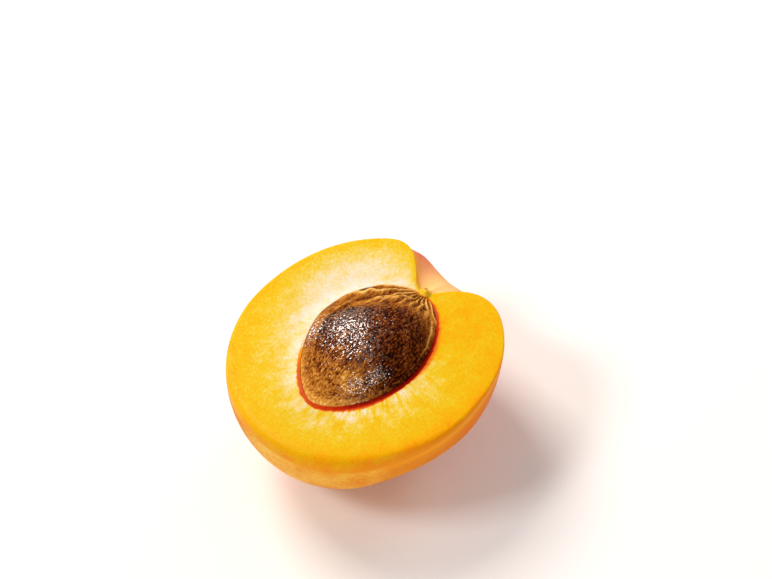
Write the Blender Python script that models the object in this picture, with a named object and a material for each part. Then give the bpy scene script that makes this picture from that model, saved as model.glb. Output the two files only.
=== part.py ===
"""An apricot half, cut through its suture from stem to tip, with the stone still lying in it.

The fruit's axis runs along X with the stem end at +X, the suture side is +Y, and the knife cut is
the level face on top. The half rests on a small flat spot in the middle of its round back.
"""

import math

import bmesh
import bpy
from mathutils import Matrix, Vector, noise

MM = 0.001

# The fruit: how far its skin lies from the middle of its axis, before the hollow and the swells
STEM_REACH = 26.1 * MM
TIP_REACH = 24.2 * MM
SUTURE_REACH = 22.9 * MM
DORSAL_REACH = 22.3 * MM
BACK_REACH = 23.8 * MM
FULLNESS = 2.1  # power of the curve from stem to tip, where 2 would be an ellipse
LEAN_UP = math.radians(8)  # the stem end stands a little out of the cut
LEAN_OVER = math.radians(-5)  # and so does the dorsal side
LEAN = Matrix.Rotation(LEAN_OVER, 3, "X") @ Matrix.Rotation(LEAN_UP, 3, "Y")
SWELLS = [  # (direction from the middle, how wide, how high): a full tip, a flat and a shoulder
    (Vector((-0.88, 0.05, -0.47)), math.radians(38), 1.4 * MM),
    (Vector((-0.38, -0.72, -0.57)), math.radians(23), -0.6 * MM),
    (Vector((0.20, -0.92, -0.34)), math.radians(22), 0.7 * MM),
]
UNEVENNESS = 0.2 * MM
LUMP_SIZE = 11 * MM

# The hollow that the stem grew in. Its widths are angles seen from the middle of the fruit
HOLLOW_DEPTH = 10.1 * MM
HOLLOW_WIDTH_SUTURE = math.radians(18.8)
HOLLOW_WIDTH_DORSAL = math.radians(14.3)
HOLLOW_WIDTH_BACK = math.radians(7.8)
HOLLOW_POWER_SUTURE = 3.1  # a high power is a flat floor with a steep wall
HOLLOW_POWER_DORSAL = 1.46
HOLLOW_POWER_BACK = 1.2

# The suture, a crease that the cut runs through, so that the half has one side of it
CREASE_DEPTH = 0.4 * MM
CREASE_WIDTH = math.radians(7)
CREASE_TIP_SHARE = 0.2  # how much of its depth is left at the tip

# The cut face and the flat spot under the back
EDGE_ROUNDING = 0.6 * MM
FOOT_CUT = 0.6 * MM

# The stump of the stem's fibres, left where the hollow comes closest to the stone
STUMP_RADIUS = 1.15 * MM
STUMP_HALF_HEIGHT = 1.6 * MM
STUMP_PLACE = Vector((16.2 * MM, 0.0, -0.7 * MM))

# The stone: its sizes from a middle in the plane of its keel, and how pointed each quarter is
STONE_STEM_LENGTH = 14.7 * MM
STONE_TIP_LENGTH = 15.0 * MM
STONE_SUTURE_WIDTH = 11.2 * MM
STONE_DORSAL_WIDTH = 9.0 * MM
STONE_HALF_THICKNESS = 6.2 * MM
STONE_MIDDLE = Vector((0.4 * MM, -0.7 * MM, 0.0))
STONE_ROLL = math.radians(5)  # the keel stands up on the suture side and dips on the other
OUTLINE_POWERS = {  # (towards the stem, towards the suture): 2 is an ellipse, less is straighter
    (True, True): 2.09,
    (True, False): 1.9,
    (False, True): 1.57,
    (False, False): 1.7,
}
STONE_LUMPS = 0.22 * MM
STONE_LUMP_SIZE = 3.2 * MM

# The dome of the stone ends at a share of the way out to the keel, and a sloping flange goes on.
# The flange is widest at the crest, on the suture side of the stem end, where fins stand on it
DOME_SHARE = 0.9
DOME_SHARE_CREST = 0.68
DOME_POWER = 0.6  # 0.5 would be an ellipse, and more is flatter towards the flange
KEEL_HALF_THICKNESS = 0.6 * MM
KEEL_POWER = 10  # a high power keeps the flange thick until close to the keel
FLANGE_RISE = 2.4 * MM
JOIN_POWER = 4  # a high power joins dome and flange at a sharper corner
FIN_HEIGHT = 0.4 * MM
FIN_NOTCH = 0.35 * MM
FIN_SPACING = 1.9 * MM
FIN_START = 0.1  # past the dome's end, in shares of the way out
CREST_MIDDLE = math.radians(48)
CREST_SPREAD = math.radians(36)

# The pocket that the stone lies in is wider than the stone, most of all on the dorsal side
POCKET_GAP_SUTURE = 0.35 * MM
POCKET_GAP_DORSAL = 1.35 * MM

# Mesh detail. The segments draw together where the shape is finest
SKIN_SEGMENTS = 88
SKIN_RINGS = 52
STEM_CROWDING = 0.45
STONE_SEGMENTS = 84
STONE_RINGS = 36
CREST_CROWDING = 0.4
LEVEL = 0.001  # of a unit sphere: nearer than this to the cut counts as in it
WELD = 0.01 * MM
SHARP_ANGLE = math.radians(35)


def blend(start, end, share):
    """The value that lies a share of the way from start to end."""
    return start + (end - start) * share


def crowded(turn, middle, amount):
    """Moves an angle towards a middle one, so that the segments of a mesh lie closer there."""
    return turn - amount * math.sin(turn - middle)


def hollow(off_axis, turn):
    """Depth of the stem hollow at an angle off the axis. Turn is 0 at the suture, 90 degrees below."""
    dorsal_share = 0.5 - 0.5 * math.cos(turn)
    back_share = math.sin(turn) ** 2
    side_width = blend(HOLLOW_WIDTH_SUTURE, HOLLOW_WIDTH_DORSAL, dorsal_share)
    side_power = blend(HOLLOW_POWER_SUTURE, HOLLOW_POWER_DORSAL, dorsal_share)
    power = blend(side_power, HOLLOW_POWER_BACK, back_share)
    widths = math.hypot(math.cos(turn) / side_width, math.sin(turn) / HOLLOW_WIDTH_BACK)
    return HOLLOW_DEPTH * math.exp(-((off_axis * widths) ** power))


def crease(off_axis, turn):
    """Depth of the suture's crease, which fades out towards the tip."""
    fade = blend(CREASE_TIP_SHARE, 1.0, 0.5 + 0.5 * math.cos(off_axis))
    return CREASE_DEPTH * fade * math.exp(-((turn / CREASE_WIDTH) ** 2)) * math.sin(off_axis)


def swell(way):
    """How far the gentle swells and flats move the skin in a direction."""
    heights = 0.0
    for direction, width, height in SWELLS:
        heights += height * math.exp(-((way.angle(direction) / width) ** 2))
    return heights


def skin_point(way):
    """The point of the skin in the direction of a unit vector from the middle of the axis."""
    leaning = LEAN @ way
    along = STEM_REACH if leaning.x > 0 else TIP_REACH
    side = SUTURE_REACH if leaning.y > 0 else DORSAL_REACH
    across = math.hypot(leaning.y / side, leaning.z / BACK_REACH)
    body = (abs(leaning.x / along) ** FULLNESS + across**FULLNESS) ** (-1 / FULLNESS)
    off_axis = math.acos(max(-1.0, min(1.0, way.x)))
    turn = math.atan2(-way.z, way.y)
    radius = body + swell(way) - hollow(off_axis, turn) - crease(off_axis, turn)
    return way * (radius + UNEVENNESS * noise.noise(way * (BACK_REACH / LUMP_SIZE)))


def keel_reach(turn):
    """How far the stone's keel lies from the stone's middle, at an angle round it."""
    stemward = math.cos(turn) > 0
    sutureward = math.sin(turn) > 0
    power = OUTLINE_POWERS[stemward, sutureward]
    length = STONE_STEM_LENGTH if stemward else STONE_TIP_LENGTH
    width = STONE_SUTURE_WIDTH if sutureward else STONE_DORSAL_WIDTH
    along = abs(math.cos(turn) / length)
    across = abs(math.sin(turn) / width)
    return (along**power + across**power) ** (-1 / power)


def crest(turn):
    """How fully the crest of fins stands at an angle round the stone, from 0 to 1."""
    off = (turn - CREST_MIDDLE + math.pi) % (2 * math.pi) - math.pi
    return math.exp(-((off / CREST_SPREAD) ** 2))


def fin(share, turn):
    """1 on the ridge of a fin and 0 between two. The fins run lengthways, along X."""
    across = share * keel_reach(turn) * math.sin(turn)
    return 0.5 + 0.5 * math.cos(2 * math.pi * across / FIN_SPACING)


def stone_half_height(share, turn):
    """Height of the stone's surface over the keel's plane, at a share of the way out to the keel."""
    dome_share = blend(DOME_SHARE, DOME_SHARE_CREST, crest(turn))
    dome = STONE_HALF_THICKNESS * max(0.0, 1 - (share / dome_share) ** 2) ** DOME_POWER
    flange = KEEL_HALF_THICKNESS + FLANGE_RISE * (1 - share)
    if share > dome_share + FIN_START:
        flange += FIN_HEIGHT * fin(share, turn) * crest(turn)
    flange *= math.sqrt(max(0.0, 1 - share**KEEL_POWER))
    return (dome**JOIN_POWER + flange**JOIN_POWER) ** (1 / JOIN_POWER)


def stone_point(way):
    """The point of the stone, about its own middle, for a unit vector."""
    turn = crowded(math.atan2(way.y, way.x), CREST_MIDDLE, CREST_CROWDING)
    share = min(1.0, math.hypot(way.x, way.y))
    notch = FIN_NOTCH * (1 - fin(1.0, turn)) * crest(turn)
    reach = share * (keel_reach(turn) - notch * share)
    height = math.copysign(stone_half_height(share, turn), way.z)
    point = Vector((reach * math.cos(turn), reach * math.sin(turn), height))
    return point + way * STONE_LUMPS * noise.noise(point / STONE_LUMP_SIZE)


def new_collection(name):
    """A collection in the scene, under its own name."""
    collection = bpy.data.collections.new(name)
    bpy.context.scene.collection.children.link(collection)
    return collection


def new_material(name, colour, roughness):
    """A plain Principled material. None of the fruit is metal."""
    material = bpy.data.materials.new(name)
    material.use_nodes = True
    shader = material.node_tree.nodes["Principled BSDF"]
    shader.inputs["Base Color"].default_value = (*colour, 1.0)
    shader.inputs["Roughness"].default_value = roughness
    shader.inputs["Metallic"].default_value = 0.0
    return material


def new_object(name, shape, collection, material=None):
    """Turns a bmesh into an object in a collection, shaded smooth with its sharp edges kept."""
    mesh = bpy.data.meshes.new(name)
    shape.to_mesh(mesh)
    shape.free()
    mesh.shade_smooth()
    mesh.set_sharp_from_angle(angle=SHARP_ANGLE)
    if material:
        mesh.materials.append(material)
    made = bpy.data.objects.new(name, mesh)
    collection.objects.link(made)
    return made


def make_half_fruit(collection, material):
    """The skin below the cut, capped with the flat cut face, its edge a little rounded."""
    shape = bmesh.new()
    bmesh.ops.create_uvsphere(shape, u_segments=SKIN_SEGMENTS, v_segments=SKIN_RINGS, radius=1.0)
    above = [vertex for vertex in shape.verts if vertex.co.z > LEVEL]
    bmesh.ops.delete(shape, geom=above, context="VERTS")
    for vertex in shape.verts:
        turn = crowded(math.atan2(vertex.co.y, vertex.co.x), 0.0, STEM_CROWDING)
        level = math.hypot(vertex.co.x, vertex.co.y)
        way = Vector((level * math.cos(turn), level * math.sin(turn), min(0.0, vertex.co.z)))
        vertex.co = skin_point(way.normalized())
        if way.z > -LEVEL:
            vertex.co.z = 0.0
    rim = [edge for edge in shape.edges if edge.is_boundary]
    bmesh.ops.contextual_create(shape, geom=rim)
    bmesh.ops.bevel(
        shape, geom=rim, offset=EDGE_ROUNDING, offset_type="OFFSET", segments=2, profile=0.5,
        affect="EDGES", clamp_overlap=True, material=-1,
    )
    foot_height = min(vertex.co.z for vertex in shape.verts) + FOOT_CUT
    everything = shape.verts[:] + shape.edges[:] + shape.faces[:]
    bmesh.ops.bisect_plane(
        shape, geom=everything, dist=WELD, plane_co=(0, 0, foot_height),
        plane_no=(0, 0, -1), clear_outer=True,
    )
    bmesh.ops.holes_fill(shape, edges=[edge for edge in shape.edges if edge.is_boundary])
    bmesh.ops.recalc_face_normals(shape, faces=shape.faces)
    return new_object("apricot_half", shape, collection, material)


def make_stump(collection):
    """A small dome of fibres that stands on the floor of the stem hollow, beside the stone."""
    shape = bmesh.new()
    bmesh.ops.create_uvsphere(shape, u_segments=14, v_segments=10, radius=1.0)
    bmesh.ops.scale(
        shape, verts=shape.verts, vec=(STUMP_RADIUS, STUMP_RADIUS, STUMP_HALF_HEIGHT)
    )
    stump = new_object("stem_stump", shape, collection)
    stump.location = STUMP_PLACE
    return stump


def make_stone_shape():
    """The stone about its own middle, keel level, stem end at +X."""
    shape = bmesh.new()
    bmesh.ops.create_uvsphere(shape, u_segments=STONE_SEGMENTS, v_segments=STONE_RINGS, radius=1.0)
    for vertex in shape.verts:
        vertex.co = stone_point(vertex.co.normalized())
    bmesh.ops.recalc_face_normals(shape, faces=shape.faces)
    return shape


def make_stone(collection, material):
    """The stone as it lies in the half."""
    stone = new_object("stone", make_stone_shape(), collection, material)
    stone.location = STONE_MIDDLE
    stone.rotation_euler = (STONE_ROLL, 0.0, 0.0)
    return stone


def make_pocket_cutter(collection):
    """The stone's shape grown by the gap that the flesh leaves around it."""
    shape = make_stone_shape()
    shape.normal_update()
    moves = []
    for vertex in shape.verts:
        dorsal_share = 0.5 - 0.5 * vertex.co.y / STONE_DORSAL_WIDTH
        gap = blend(POCKET_GAP_SUTURE, POCKET_GAP_DORSAL, max(0.0, min(1.0, dorsal_share)))
        moves.append((vertex, vertex.normal * gap))
    for vertex, move in moves:
        vertex.co += move
    cutter = new_object("pocket_cutter", shape, collection)
    cutter.location = STONE_MIDDLE
    cutter.rotation_euler = (STONE_ROLL, 0.0, 0.0)
    return cutter


def join_or_cut(target, operation, other):
    """A Boolean modifier on the target that takes the other object, which is then a helper."""
    modifier = target.modifiers.new(operation.title(), "BOOLEAN")
    modifier.operation = operation
    modifier.object = other
    other.hide_render = True
    other.display_type = "WIRE"


def stand_on_origin(parts, helpers):
    """Moves everything so that the origin is under the middle of the half's box, at its foot."""
    bpy.context.view_layer.update()
    graph = bpy.context.evaluated_depsgraph_get()
    corners = []
    for part in parts:
        shown = part.evaluated_get(graph)
        corners += [shown.matrix_world @ vertex.co for vertex in shown.data.vertices]
    low = Vector(min(corner[axis] for corner in corners) for axis in range(3))
    high = Vector(max(corner[axis] for corner in corners) for axis in range(3))
    middle = (low + high) / 2
    shift = Matrix.Translation((-middle.x, -middle.y, -low.z))
    for thing in parts + helpers:
        thing.matrix_world = shift @ thing.matrix_world


def main():
    for old in list(bpy.data.objects):
        bpy.data.objects.remove(old)
    fruit_parts = new_collection("Apricot half")
    helpers = new_collection("Cutters")
    flesh = new_material("apricot_flesh", (0.93, 0.50, 0.04), 0.35)
    shell = new_material("apricot_stone", (0.13, 0.06, 0.03), 0.4)

    half = make_half_fruit(fruit_parts, flesh)
    stone = make_stone(fruit_parts, shell)
    stump = make_stump(helpers)
    pocket = make_pocket_cutter(helpers)
    join_or_cut(half, "UNION", stump)
    join_or_cut(half, "DIFFERENCE", pocket)
    stand_on_origin([half, stone], [stump, pocket])


main()
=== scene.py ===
"""The looks of an apricot half with its stone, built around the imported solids.

Lengths are in metres. The knife cut is level and faces up, the fruit's axis runs along X with the
stem end at +X, the suture side is +Y, and the half rests on the floor at Z = 0.
"""

import functools
import math
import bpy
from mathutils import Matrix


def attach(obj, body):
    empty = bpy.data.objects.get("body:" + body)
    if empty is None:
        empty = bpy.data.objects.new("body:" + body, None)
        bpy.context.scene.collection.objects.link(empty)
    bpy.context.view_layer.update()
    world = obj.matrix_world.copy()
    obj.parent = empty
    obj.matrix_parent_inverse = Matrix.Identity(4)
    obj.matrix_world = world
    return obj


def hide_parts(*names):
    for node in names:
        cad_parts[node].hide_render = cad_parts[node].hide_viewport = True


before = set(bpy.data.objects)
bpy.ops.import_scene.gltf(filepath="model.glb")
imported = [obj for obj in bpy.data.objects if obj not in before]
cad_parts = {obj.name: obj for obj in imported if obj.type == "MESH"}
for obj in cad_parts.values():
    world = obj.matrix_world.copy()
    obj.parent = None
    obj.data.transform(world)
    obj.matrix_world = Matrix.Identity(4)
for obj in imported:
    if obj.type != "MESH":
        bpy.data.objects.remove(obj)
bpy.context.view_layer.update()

import types

import bmesh
import bpy
from mathutils import Matrix, Vector, noise


# ---- Table and daylight ----------------------------------------------------------------------
# A white melamine table top, lit as in a food studio by four soft boxes between white walls. The
# ones behind and to the left light the cut, and the low ones reach the skin and the stem hollow.

MM = 0.001
CUT_HEIGHT = 23.35 * MM
AXIS_POINT = Vector((0.39 * MM, -0.10 * MM, CUT_HEIGHT))  # the middle of the fruit, in the cut

TABLE_SIZE = 4.0
TABLE_COLOUR = "#FEFDFD"
WALL_COLOUR = "#FFFBF8"
WALL_STRENGTH = 0.27
SOFT_BOXES = [  # (name, metres to the right, away and up from the fruit, width, watts, colour)
    ("soft_box_behind", (-0.33, 0.34, 0.58), 0.34, 4.2, "#FFF4E8"),  # sparkles on the stone
    ("soft_box_left", (-0.80, -0.20, 0.90), 0.30, 5.15, "#FFFFFF"),
    ("soft_box_front", (0.36, -0.72, 0.24), 0.28, 1.7, "#FFF5EA"),  # a second band of sparkle
    ("soft_box_back", (0.45, 0.62, 0.28), 0.30, 1.5, "#FFFFFF"),
]

CAMERA_AZIMUTH = math.radians(-48)
CAMERA_ELEVATION = math.radians(53.5)
CAMERA_DISTANCE = 372 * MM
CAMERA_LENS = 100.0  # on Blender's usual 36 mm wide sensor
CAMERA_CLIP_START = 10 * MM
IMAGE_SIZE = (772, 579)
AXIS_POINT_PIXEL = (365, 348)


def linear(colour):
    """A colour written as sRGB hex, as the linear colour with alpha that a shader takes."""
    parts = [int(colour[place : place + 2], 16) / 255 for place in (1, 3, 5)]
    return [p / 12.92 if p <= 0.04045 else ((p + 0.055) / 1.055) ** 2.4 for p in parts] + [1.0]


def new_material(name):
    """An empty material, ready for nodes."""
    material = bpy.data.materials.new(name)
    material.use_nodes = True
    material.node_tree.nodes.clear()
    return material


def add_node(material, kind, inputs=None, stops=(), **settings):
    """Adds a node with its settings. Each input gets a value, or the output that feeds it."""
    tree = material.node_tree
    node = tree.nodes.new("ShaderNode" + kind)
    for name, value in settings.items():
        setattr(node, name, value)
    for name, value in (inputs or {}).items():
        if isinstance(value, bpy.types.NodeSocket):
            tree.links.new(value, node.inputs[name])
        else:
            node.inputs[name].default_value = value
    for number, (place, colour) in enumerate(stops):
        born = number < 2  # every ramp is born with two stops
        stop = node.color_ramp.elements[number] if born else node.color_ramp.elements.new(place)
        stop.position = place
        stop.color = linear(colour)
    return node


# White melamine board, wiped clean: matt, with a colour that stays just short of full white
melamine = new_material("white_melamine")
board = add_node(
    melamine, "BsdfPrincipled", {"Base Color": linear(TABLE_COLOUR), "Roughness": 0.7}
)
add_node(melamine, "OutputMaterial", {"Surface": board.outputs[0]})

shape = bmesh.new()
bmesh.ops.create_grid(shape, x_segments=1, y_segments=1, size=TABLE_SIZE / 2)
table_mesh = bpy.data.meshes.new("table_top")
shape.to_mesh(table_mesh)
shape.free()
table_mesh.materials.append(melamine)
table_top = bpy.data.objects.new("table_top", table_mesh)
bpy.context.collection.objects.link(table_top)

# The soft boxes are placed as the camera sees right, away and up, and face the fruit
right = Vector((math.cos(CAMERA_AZIMUTH), math.sin(CAMERA_AZIMUTH), 0))
away = Vector((-math.sin(CAMERA_AZIMUTH), math.cos(CAMERA_AZIMUTH), 0))
for name, (to_right, to_away, to_up), width, watts, colour in SOFT_BOXES:
    light = bpy.data.lights.new(name, "AREA")
    light.size = width
    light.energy = watts
    light.color = linear(colour)[:3]
    lamp = bpy.data.objects.new(name, light)
    lamp.location = AXIS_POINT + right * to_right + away * to_away + Vector((0, 0, to_up))
    lamp.rotation_euler = (lamp.location - AXIS_POINT).to_track_quat("Z", "Y").to_euler()
    bpy.context.collection.objects.link(lamp)

walls = bpy.data.worlds.new("white_walls")
walls.use_nodes = True
walls.node_tree.nodes["Background"].inputs["Color"].default_value = linear(WALL_COLOUR)
walls.node_tree.nodes["Background"].inputs["Strength"].default_value = WALL_STRENGTH
bpy.context.scene.world = walls
bpy.context.scene.view_settings.view_transform = "Standard"

# The camera is turned until the fruit's middle falls on its pixel, without rolling
camera_data = bpy.data.cameras.new("camera")
camera_data.lens = CAMERA_LENS
camera_data.clip_start = CAMERA_CLIP_START
focal_pixels = CAMERA_LENS / camera_data.sensor_width * IMAGE_SIZE[0]
across = (AXIS_POINT_PIXEL[0] - IMAGE_SIZE[0] / 2) / focal_pixels
upward = (IMAGE_SIZE[1] / 2 - AXIS_POINT_PIXEL[1]) / focal_pixels
pitch = CAMERA_ELEVATION + math.atan(upward)
forward = away * math.cos(pitch) - Vector((0, 0, math.sin(pitch)))
up = away * math.sin(pitch) + Vector((0, 0, math.cos(pitch)))
camera = bpy.data.objects.new("camera", camera_data)
camera.location = AXIS_POINT - CAMERA_DISTANCE * (forward + right * across + up * upward)
camera.rotation_euler = Matrix((right, up, -forward)).transposed().to_euler()
bpy.context.collection.objects.link(camera)
bpy.context.scene.camera = camera


# ---- The cut fruit ---------------------------------------------------------------------------
# Half a ripe apricot: juicy flesh under a thin downy skin, halved with a knife along the suture.
# One closed sphere of rings, which from the bottom up become the skin, the soft edge of the cut,
# the cut face, and the wall and floor of the pocket that the stone lies in.

FRUIT_SEGMENTS = 512
SKIN_RINGS = 72
EDGE_RINGS = 14
FACE_RINGS = 62
LIP_RINGS = 8
POCKET_RINGS = 38
RIM_RING = SKIN_RINGS + EDGE_RINGS + FACE_RINGS  # the ring that lies on the pocket's rim
FRUIT_RINGS = RIM_RING + LIP_RINGS + POCKET_RINGS
STEM_CROWDING = 0.6  # the segments draw together at the stem end, where the shape is finest
SKIN_CROWDING = 0.9  # power that draws the skin's rings a little together below the cut
WELD = 0.0005 * MM

# The skin, by the same rule as the solid. The last swell is too small for it: it is on the rim of
# the stem hollow, beside the suture
STEM_REACH = 26.1 * MM
TIP_REACH = 24.2 * MM
SUTURE_REACH = 22.9 * MM
DORSAL_REACH = 22.3 * MM
BACK_REACH = 23.8 * MM
FULLNESS = 2.1
LEAN = Matrix.Rotation(math.radians(-5), 3, "X") @ Matrix.Rotation(math.radians(8), 3, "Y")
SWELLS = [  # (direction from the middle, how wide, how high)
    (Vector((-0.88, 0.05, -0.47)), math.radians(38), 1.4 * MM),
    (Vector((-0.38, -0.72, -0.57)), math.radians(23), -0.6 * MM),
    (Vector((0.20, -0.92, -0.34)), math.radians(22), 0.7 * MM),
    (Vector((0.94, 0.31, -0.14)), math.radians(6), 0.9 * MM),
]
UNEVENNESS = 0.2 * MM
LUMP_SIZE = 11 * MM
HOLLOW_DEPTH = 10.1 * MM
HOLLOW_WIDTH_SUTURE = math.radians(18.8)
HOLLOW_WIDTH_DORSAL = math.radians(14.3)
HOLLOW_WIDTH_BACK = math.radians(7.8)
HOLLOW_POWER_SUTURE = 3.1
HOLLOW_POWER_DORSAL = 1.46
HOLLOW_POWER_BACK = 1.2
CREASE_DEPTH = 0.4 * MM
CREASE_WIDTH = math.radians(7)
CREASE_TIP_SHARE = 0.2

# The edge of the cut is crisp, except round the tip, where the soft flesh has rolled over
CRISP_INSET = 0.35 * MM
CRISP_DEPTH = 0.45 * MM
SOFT_INSET = 2.1 * MM
SOFT_DEPTH = 3.2 * MM
SOFT_MIDDLE = math.radians(-158)
SOFT_SPREAD = math.radians(62)

# The stone's outline and lower side, which the pocket follows at a gap
STONE_STEM_LENGTH = 14.7 * MM
STONE_TIP_LENGTH = 15.0 * MM
STONE_SUTURE_WIDTH = 11.2 * MM
STONE_DORSAL_WIDTH = 9.0 * MM
STONE_HALF_THICKNESS = 6.2 * MM
STONE_MIDDLE = Vector((0.4 * MM, -0.7 * MM, 0.0))  # from the fruit's own middle
STONE_ROLL = Matrix.Rotation(math.radians(5), 3, "X")
OUTLINE_POWERS = {  # (towards the stem, towards the suture): 2 is an ellipse, less is straighter
    (True, True): 2.09,
    (True, False): 1.9,
    (False, True): 1.57,
    (False, False): 1.7,
}
POCKET_POWER = 2.2  # how full the pocket's floor is, where 2 is an ellipse
NARROW_GAP = 0.24 * MM
WIDE_GAP = 0.93 * MM
WIDE_GAP_MIDDLE = math.radians(-122)
WIDE_GAP_POWER = 1.5
TIGHT_GAP = 0.03 * MM  # where the stone lies against the flesh
GUTTER_DEPTH = -0.16 * MM  # the flesh meets the stone this much above its keel
CLING_REACH = 1.3 * MM  # where the keel stands higher than the cut, the flesh rises to it
CLING_SHARE = 0.6
RAGGEDNESS = 0.10 * MM
TIP_RAGGEDNESS = 2.5  # how much more ragged the rim is at the stone's tip, and over what angle
TIP_RAG_SPREAD = 0.4
RAG_SIZE = 0.9 * MM
CUT_WAVES = 0.07 * MM  # the knife leaves the face a little wavy
CUT_WAVE_SIZE = 3.4 * MM

# How ripe the flesh looks, from 0, ivory, to 1, amber: at the stone and out towards the skin. It is
# palest at the stone on the suture side, and golden right from the stone on the side across
RIPENESS_AT_STONE = 0.29
RIPE = 0.81
PALE_MIDDLE = math.radians(72)
PALE_SPREAD = math.radians(68)
GOLDEN_AT_STONE = 0.80
GOLDEN_RIPE = 0.705
GOLDEN_MIDDLE = math.radians(-33)
GOLDEN_SPREAD = math.radians(34)
GOLDEN_FRINGE = 1.6 * MM  # how far the flesh is riper still next to the stone on that side
GOLDEN_FRINGE_RIPENESS = 0.13

# It ripens on the way out to the skin, by a power that is low where the pale flesh gives out soon
QUICK_RIPENING = 0.7
SLOW_RIPENING = 1.5
SLOW_MIDDLE = math.radians(38)
SLOW_SPREAD = math.radians(48)
SLOW_TIP = 0.35  # how slow it is at the tip, as a share of where it is slowest
TIP_MIDDLE = math.radians(-172)
TIP_SPREAD = math.radians(30)

# Right under the skin it is ripest, in a band that is wide on the dorsal side. It is amber there,
# its own colour, and in the notch that the stem hollow cuts, where the amber is painted glow that
# stands in for the thin edge lit through in the hollow's shade
UNDER_SKIN = 0.08  # of the way in from the skin
WIDE_UNDER_SKIN = 0.24
EDGE_RIPENESS = 0.13
AMBER_AND_GLOW_RIPENESS = 0.31
AMBER_MIDDLE = math.radians(-92)
AMBER_SPREAD = math.radians(72)
NOTCH_GLOW_MIDDLE = math.radians(20)
NOTCH_GLOW_SPREAD = math.radians(16)

# Its grain is faintest at the stone and under the skin, and pale fibres run out from the stone,
# most of them between the tip and the dorsal side
GRAIN_AT_STONE = 0.5
GRAIN_RIPE = 0.9
SMOOTHED_UNDER_SKIN = 0.75
STREAKS = 0.4
MORE_STREAKS = 0.95
STREAK_REACH = 0.36  # of the way from the stone to the skin
STREAK_MIDDLE = math.radians(-138)
STREAK_SPREAD = math.radians(52)
FIBRES_ROUND = 14 * MM  # radius that the fibre pattern is drawn at, where its grain is right

# The red lining of the pocket: how far it spreads over the cut, how red it is and where there is
# none. On the dorsal side it has an orange fringe
LINING = 0.22 * MM
WIDE_LINING = 1.10 * MM
LINING_MIDDLE = math.radians(-143)
LINING_SPREAD = math.radians(24)
PALE_LINING = 0.53  # how red it gets at least, as a share of where it is reddest
RED_MIDDLE = math.radians(-98)
RED_SPREAD = math.radians(68)
FRINGE = 1.3 * MM
FRINGE_SHARE = 0.5  # how strong the fringe is, as a share of the lining
FRINGE_MIDDLE = math.radians(-50)
FRINGE_SPREAD = math.radians(36)
UNLINED_MIDDLE = math.radians(75)
UNLINED_SPREAD = math.radians(70)

# The skin's ground colour turns from yellow at the tip to orange at the stem, with a red cheek on
# the suture's side. Down in the stem hollow it is paler yellow, painted light that stands in for
# the glow through the thin flesh in the hollow's shade. Along the cut it is amber: the skin's own
# colour on the dorsal side, and painted glow in the notch
SKIN_BLUSH = 0.41  # half-way along, from 0, yellow, to 1, dark red
TIP_TO_STEM = 0.37
CHEEK = 0.45
HOLLOW_GLOW_REACH = 6.2 * MM
CUT_AMBER_GLOW_REACH = 1.2 * MM


def blend(start, end, share):
    """The value that lies a share of the way from start to end."""
    return start + (end - start) * share


def hill(turn, middle, spread, power=2):
    """1 at the middle of a stretch of angles and down to 0 past its spread."""
    off = (turn - middle + math.pi) % (2 * math.pi) - math.pi
    return math.exp(-((off / spread) ** power))


def plateau(turn, middle, spread):
    """Like a hill, but staying near 1 over most of its spread and falling off steeply."""
    return hill(turn, middle, spread, power=6)


def level_way(turn):
    """The level direction at an angle round the middle, from the stem end towards the suture."""
    return Vector((math.cos(turn), math.sin(turn), 0.0))


def dipped(way, angle):
    """A level direction, dipped below the cut by an angle."""
    return way * math.cos(angle) - Vector((0, 0, math.sin(angle)))


def hollow(off_axis, turn):
    """Depth of the stem hollow at an angle off the axis. Turn is 0 at the suture, 90 degrees below."""
    dorsal_share = 0.5 - 0.5 * math.cos(turn)
    side_width = blend(HOLLOW_WIDTH_SUTURE, HOLLOW_WIDTH_DORSAL, dorsal_share)
    side_power = blend(HOLLOW_POWER_SUTURE, HOLLOW_POWER_DORSAL, dorsal_share)
    power = blend(side_power, HOLLOW_POWER_BACK, math.sin(turn) ** 2)
    widths = math.hypot(math.cos(turn) / side_width, math.sin(turn) / HOLLOW_WIDTH_BACK)
    return HOLLOW_DEPTH * math.exp(-((off_axis * widths) ** power))


def skin_point(way):
    """The point of the skin in the direction of a unit vector from the fruit's middle."""
    leaning = LEAN @ way
    along = STEM_REACH if leaning.x > 0 else TIP_REACH
    side = SUTURE_REACH if leaning.y > 0 else DORSAL_REACH
    round_axis = math.hypot(leaning.y / side, leaning.z / BACK_REACH)
    radius = (abs(leaning.x / along) ** FULLNESS + round_axis**FULLNESS) ** (-1 / FULLNESS)
    for direction, width, height in SWELLS:
        radius += height * math.exp(-((way.angle(direction) / width) ** 2))
    off_axis = math.acos(max(-1.0, min(1.0, way.x)))
    turn = math.atan2(-way.z, way.y)
    crease_fade = blend(CREASE_TIP_SHARE, 1.0, 0.5 + 0.5 * math.cos(off_axis))
    crease = CREASE_DEPTH * crease_fade * math.exp(-((turn / CREASE_WIDTH) ** 2))
    radius -= hollow(off_axis, turn) + crease * math.sin(off_axis)
    return way * (radius + UNEVENNESS * noise.noise(way * (BACK_REACH / LUMP_SIZE)))


def keel_reach(turn):
    """How far the stone's keel lies from the stone's middle, at an angle round it."""
    stemward = math.cos(turn) > 0
    sutureward = math.sin(turn) > 0
    power = OUTLINE_POWERS[stemward, sutureward]
    length = STONE_STEM_LENGTH if stemward else STONE_TIP_LENGTH
    width = STONE_SUTURE_WIDTH if sutureward else STONE_DORSAL_WIDTH
    along = abs(math.cos(turn) / length) ** power
    side = abs(math.sin(turn) / width) ** power
    return (along + side) ** (-1 / power)


def pocket_gap(turn):
    """How much wider than the stone the pocket is at the cut, at an angle round the stone."""
    wide_share = (0.5 + 0.5 * math.cos(turn - WIDE_GAP_MIDDLE)) ** WIDE_GAP_POWER
    return blend(NARROW_GAP, WIDE_GAP, wide_share)


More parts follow.
